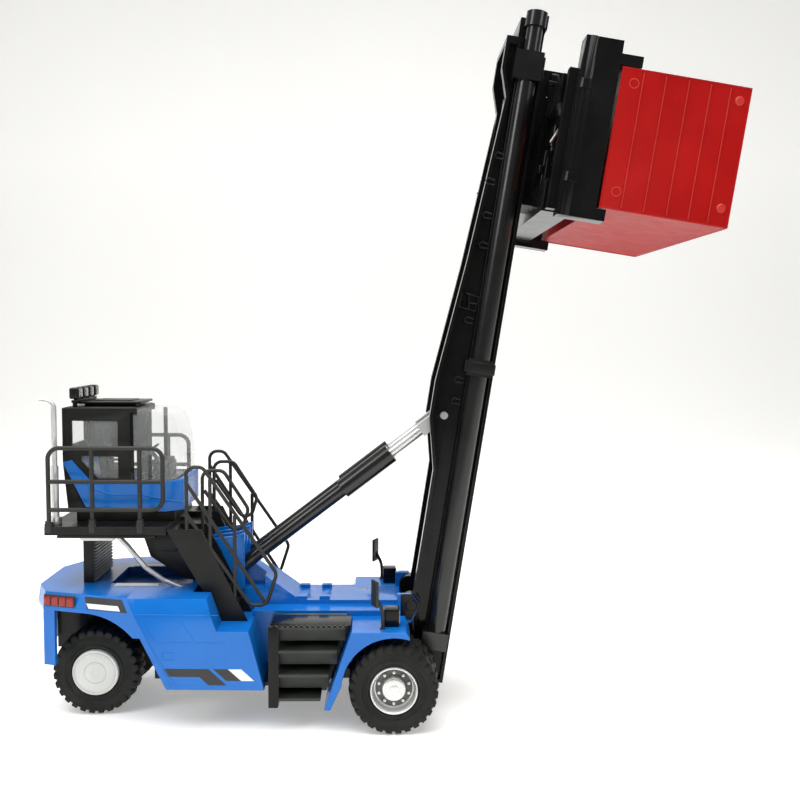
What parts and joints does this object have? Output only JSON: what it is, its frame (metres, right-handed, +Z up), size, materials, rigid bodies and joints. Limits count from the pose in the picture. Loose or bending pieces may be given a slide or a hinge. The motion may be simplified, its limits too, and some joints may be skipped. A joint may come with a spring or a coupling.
{
  "type": "toy container forklift",
  "caption": "Scale model of a laden-container forklift: tilting two-stage mast, side-lift spreader, container, raised cab and rolling wheels.",
  "frame": {"origin": "on the floor, midway along and across the whole model as it stands with the mast raised and tipped forward", "axes": "+X forward towards the mast and container, +Y to the truck's left, +Z up"},
  "size_m": [0.2794, 0.1234, 0.2919],
  "materials": {
    "blue": "gloss blue paint on die-cast zinc",
    "black_plastic": "satin black moulded plastic",
    "rail_plastic": "matt black moulded plastic",
    "seat_plastic": "matt dark grey plastic",
    "clear": "clear polystyrene glazing",
    "tail_red": "clear red plastic",
    "chrome": "bright plated",
    "silver": "silver painted plastic",
    "hub_white": "off-white plastic",
    "steel": "bright steel",
    "tyre": "matt black rubber",
    "container_red": "gloss red plastic"
  },
  "bodies": {
    "truck": {"chassis_pan": "black_plastic", "front_axle": "steel", "chassis_screws": "steel", "counterweight": "blue", "body_shell": "blue", "fender_l": "blue", "fender_r": "blue", "headlamps": "black_plastic", "tail_lamps": "tail_red", "mirrors": "black_plastic", "side_steps_l": "black_plastic", "side_steps_r": "black_plastic", "stairs_l": "black_plastic", "stairs_r": "black_plastic", "handrails_l": "rail_plastic", "handrails_r": "rail_plastic", "platform_deck": "black_plastic", "platform_railing_l": "rail_plastic", "platform_railing_r": "rail_plastic", "cab_column": "black_plastic", "column_cap": "chrome", "brace_pipes": "chrome", "exhaust_pipe": "chrome", "cab_shell": "blue", "cab_frame": "black_plastic", "cab_glazing": "clear", "cab_seat": "seat_plastic", "control_console": "black_plastic", "roof_hatch": "black_plastic", "roof_lamps": "black_plastic", "rear_axle_beam": "black_plastic", "kingpins": "steel", "tilt_base_pins": "steel", "mast_foot_pins": "steel"},
    "front_wheels_l": {"front_rim_l": "silver", "front_tyre_outer_l": "tyre", "front_tyre_inner_l": "tyre"},
    "steer_l": {"knuckle_l": "black_plastic"},
    "rear_wheel_l": {"rear_rim_l": "hub_white", "rear_tyre_l": "tyre"},
    "front_wheels_r": {"front_rim_r": "silver", "front_tyre_outer_r": "tyre", "front_tyre_inner_r": "tyre"},
    "steer_r": {"knuckle_r": "black_plastic"},
    "rear_wheel_r": {"rear_rim_r": "hub_white", "rear_tyre_r": "tyre"},
    "steering_link": {"tie_rod": "black_plastic"},
    "tilt_barrels": {"tilt_barrels": "black_plastic"},
    "outer_mast": {"outer_mast": "black_plastic", "tilt_mast_pins": "steel", "lift_tubes": "black_plastic"},
    "tilt_rods": {"tilt_rods": "silver"},
    "inner_mast": {"inner_mast": "black_plastic", "lift_rods": "black_plastic"},
    "carriage": {"carriage": "black_plastic", "spreader_beam": "black_plastic"},
    "spreader_arm_l": {"spreader_arm_l": "black_plastic"},
    "spreader_arm_r": {"spreader_arm_r": "black_plastic"},
    "container": {"container_shell": "container_red", "container_doors": "container_red"}
  },
  "joints": [
    {"name": "front_wheels_spin_l", "type": "hinge", "parent": "truck", "child": "front_wheels_l", "pos_m": [0.0098, 0.03, 0.0184], "axis": [0, 1, 0], "continuous": true},
    {"name": "steer_hinge_l", "type": "hinge", "parent": "truck", "child": "steer_l", "pos_m": [-0.1147, 0.0125, 0.0184], "axis": [0, 0, 1], "range_deg": [-12, 12]},
    {"name": "rear_wheel_spin_l", "type": "hinge", "parent": "steer_l", "child": "rear_wheel_l", "pos_m": [-0.1147, 0.0125, 0.0184], "axis": [0, 1, 0], "continuous": true},
    {"name": "front_wheels_spin_r", "type": "hinge", "parent": "truck", "child": "front_wheels_r", "pos_m": [0.0098, -0.03, 0.0184], "axis": [0, 1, 0], "continuous": true},
    {"name": "steer_hinge_r", "type": "hinge", "parent": "truck", "child": "steer_r", "pos_m": [-0.1147, -0.0125, 0.0184], "axis": [0, 0, 1], "range_deg": [-12, 12]},
    {"name": "rear_wheel_spin_r", "type": "hinge", "parent": "steer_r", "child": "rear_wheel_r", "pos_m": [-0.1147, -0.0125, 0.0184], "axis": [0, 1, 0], "continuous": true},
    {"name": "tie_rod_slide", "type": "slide", "parent": "truck", "child": "steering_link", "axis": [0, 1, 0], "range_m": [-0.00114, 0.00114]},
    {"name": "mast_tilt", "type": "hinge", "parent": "truck", "child": "outer_mast", "pos_m": [0.0173, 0, 0.046], "axis": [0, 1, 0], "range_deg": [-14, 0.5]},
    {"name": "tilt_barrel_hinge", "type": "hinge", "parent": "truck", "child": "tilt_barrels", "pos_m": [-0.0597, 0, 0.0571], "axis": [0, 1, 0], "range_deg": [-7.6, 0.4]},
    {"name": "tilt_rod_hinge", "type": "hinge", "parent": "outer_mast", "child": "tilt_rods", "pos_m": [0.03072, 0, 0.1264], "axis": [0, 1, 0], "range_deg": [-0.4, 7]},
    {"name": "inner_mast_slide", "type": "slide", "parent": "outer_mast", "child": "inner_mast", "axis": [0.1513, 0, 0.9885], "range_m": [-0.009, 0.07]},
    {"name": "carriage_slide", "type": "slide", "parent": "inner_mast", "child": "carriage", "axis": [0.1513, 0, 0.9885], "range_m": [-0.185, 0.008]},
    {"name": "spreader_extend_l", "type": "slide", "parent": "carriage", "child": "spreader_arm_l", "axis": [0, 1, 0], "range_m": [0, 0.025]},
    {"name": "spreader_extend_r", "type": "slide", "parent": "carriage", "child": "spreader_arm_r", "axis": [0, -1, 0], "range_m": [0, 0.025]},
    {"name": "container_release", "type": "slide", "parent": "carriage", "child": "container", "axis": [0.9885, 0, -0.1513], "range_m": [0, 0.06]}
  ],
  "couplings": [
    {"joint": "steer_hinge_r", "follows": "steer_hinge_l", "ratio": 1},
    {"joint": "tie_rod_slide", "follows": "steer_hinge_l", "m_per_rad": 0.0049635},
    {"joint": "tilt_barrel_hinge", "follows": "mast_tilt", "ratio": 0.52602},
    {"joint": "tilt_rod_hinge", "follows": "mast_tilt", "ratio": -0.47398}
  ]
}
